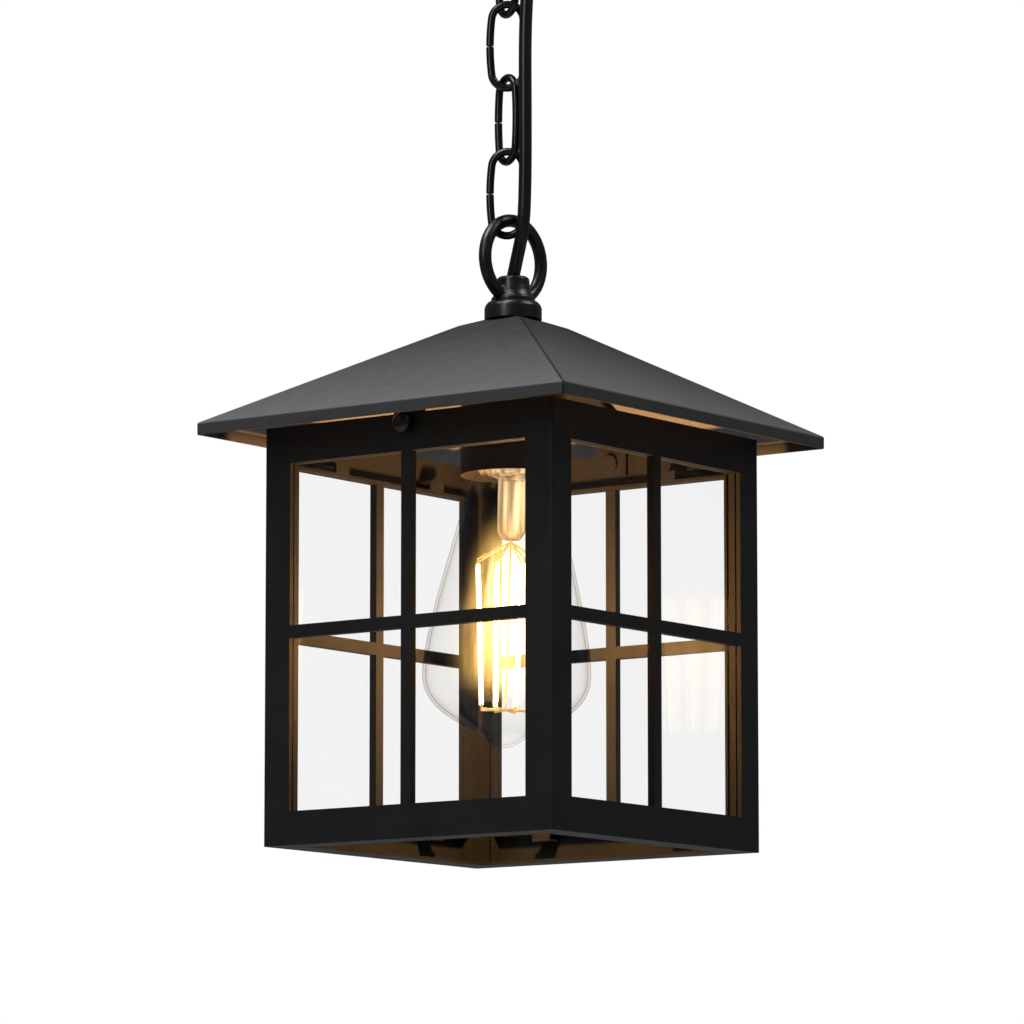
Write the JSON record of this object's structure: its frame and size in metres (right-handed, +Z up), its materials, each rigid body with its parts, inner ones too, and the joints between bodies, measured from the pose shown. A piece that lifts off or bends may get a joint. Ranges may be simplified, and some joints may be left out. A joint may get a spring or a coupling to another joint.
{
  "type": "hanging lantern",
  "caption": "Square glazed metal lantern with a hipped roof and a lit screw lamp, hung from a ceiling canopy by a loop, open chain links and a cord beside them.",
  "frame": {"origin": "middle of the canopy's top face, on the ceiling, midway between the two box screws", "axes": "+Z is up, out of the ceiling face; -Y is the lantern's front face, which carries a cap nut; +X is its right side as seen from the front"},
  "size_m": [0.171, 0.171, 0.4047],
  "materials": {
    "black_cast": "satin black enamel over a slightly rough casting",
    "black_roof": "fine matte black powder coat",
    "black_sheet": "satin black powder coat",
    "bushing": "matte",
    "chain_steel": "gloss black enamel",
    "contact": "tin plated",
    "cord_jacket": "smooth satin sleeve",
    "filament": "phosphor coating, lit",
    "holder_body": "matte white",
    "holder_brass": "bright",
    "insulator": "gloss black",
    "lamp_brass": "bright",
    "lamp_glass": "clear with a faint amber tint",
    "lamp_stem": "clear, amber lit",
    "lamp_wire": "bright drawn wire",
    "pane_glass": "clear, polished",
    "zinc_steel": "zinc plated"
  },
  "bodies": {
    "canopy": {"canopy": "black_sheet", "canopy_loop": "black_cast", "canopy_bushing": "bushing", "canopy_pipe": "zinc_steel", "canopy_lock_nut": "zinc_steel", "canopy_crossbar": "zinc_steel", "cord_span_1": "cord_jacket"},
    "link_1": {"link_1": "chain_steel", "cord_span_2": "cord_jacket"},
    "link_2": {"link_2": "chain_steel", "cord_span_3": "cord_jacket"},
    "link_3": {"link_3": "chain_steel", "cord_span_4": "cord_jacket"},
    "link_4": {"link_4": "chain_steel"},
    "lantern": {"lantern_loop": "black_cast", "lantern_bushing": "bushing", "roof_collar": "black_cast", "threaded_pipe": "zinc_steel", "roof_shell": "black_roof", "roof_strap": "black_sheet", "strap_lock_nut": "zinc_steel", "strap_washer": "zinc_steel", "frame_studs": "black_sheet", "socket_cup": "black_sheet", "socket_body": "holder_body", "socket_screw_shell": "holder_brass", "socket_contact": "contact", "cord_span_5": "cord_jacket"},
    "frame": {"post_front_left": "black_sheet", "post_front_right": "black_sheet", "post_back_right": "black_sheet", "post_back_left": "black_sheet", "bottom_rail_front": "black_sheet", "bottom_rail_right": "black_sheet", "bottom_rail_back": "black_sheet", "bottom_rail_left": "black_sheet", "top_rail_front": "black_sheet", "top_rail_right": "black_sheet", "top_rail_back": "black_sheet", "top_rail_left": "black_sheet", "glazing_bars_front": "black_sheet", "glazing_bars_right": "black_sheet", "glazing_bars_back": "black_sheet", "glazing_bars_left": "black_sheet", "glass_front": "pane_glass", "glass_right": "pane_glass", "glass_back": "pane_glass", "glass_left": "pane_glass", "glass_clips": "black_sheet"},
    "bulb": {"bulb_glass": "lamp_glass", "bulb_screw_cap": "lamp_brass", "bulb_insulator": "insulator", "bulb_tip_contact": "contact", "bulb_stem": "lamp_stem", "bulb_filaments": "filament", "bulb_wires": "lamp_wire"},
    "cap_nut_front": {"cap_nut_front": "black_cast"},
    "cap_nut_back": {"cap_nut_back": "black_cast"}
  },
  "joints": [
    {"name": "canopy_to_link_1", "type": "hinge", "parent": "canopy", "child": "link_1", "pos_m": [-0.00041, -0.00317, -0.05526], "axis": [0.1288, 0.9917, 0], "range_deg": [-10, 10], "deforming": ["cord_span_1", "cord_span_2"]},
    {"name": "link_1_to_link_2", "type": "hinge", "parent": "link_1", "child": "link_2", "pos_m": [-0.00041, -0.00317, -0.08336], "axis": [0.9135, -0.4067, 0], "range_deg": [-10, 10], "deforming": ["cord_span_2", "cord_span_3"]},
    {"name": "link_2_to_link_3", "type": "hinge", "parent": "link_2", "child": "link_3", "pos_m": [-0.00041, -0.00317, -0.11216], "axis": [0.866, 0.5, 0], "range_deg": [-10, 10], "deforming": ["cord_span_3", "cord_span_4"]},
    {"name": "link_3_to_link_4", "type": "hinge", "parent": "link_3", "child": "link_4", "pos_m": [-0.00041, -0.00317, -0.14096], "axis": [0.9205, -0.3907, 0], "range_deg": [-10, 10], "deforming": ["cord_span_4", "cord_span_5"]},
    {"name": "link_4_to_lantern", "type": "hinge", "parent": "link_4", "child": "lantern", "pos_m": [-0.00041, -0.00317, -0.16976], "axis": [0.891, 0.454, 0], "range_deg": [-10, 10], "deforming": ["cord_span_5"]},
    {"name": "frame_drop", "type": "slide", "parent": "lantern", "child": "frame", "axis": [0, 0, -1], "range_m": [0, 0.17]},
    {"name": "bulb_draw", "type": "slide", "parent": "lantern", "child": "bulb", "axis": [0, 0, -1], "range_m": [0, 0.14]},
    {"name": "cap_nut_front_draw", "type": "slide", "parent": "lantern", "child": "cap_nut_front", "axis": [0, -1, 0], "range_m": [0, 0.01]},
    {"name": "cap_nut_back_draw", "type": "slide", "parent": "lantern", "child": "cap_nut_back", "axis": [0, 1, 0], "range_m": [0, 0.01]}
  ]
}
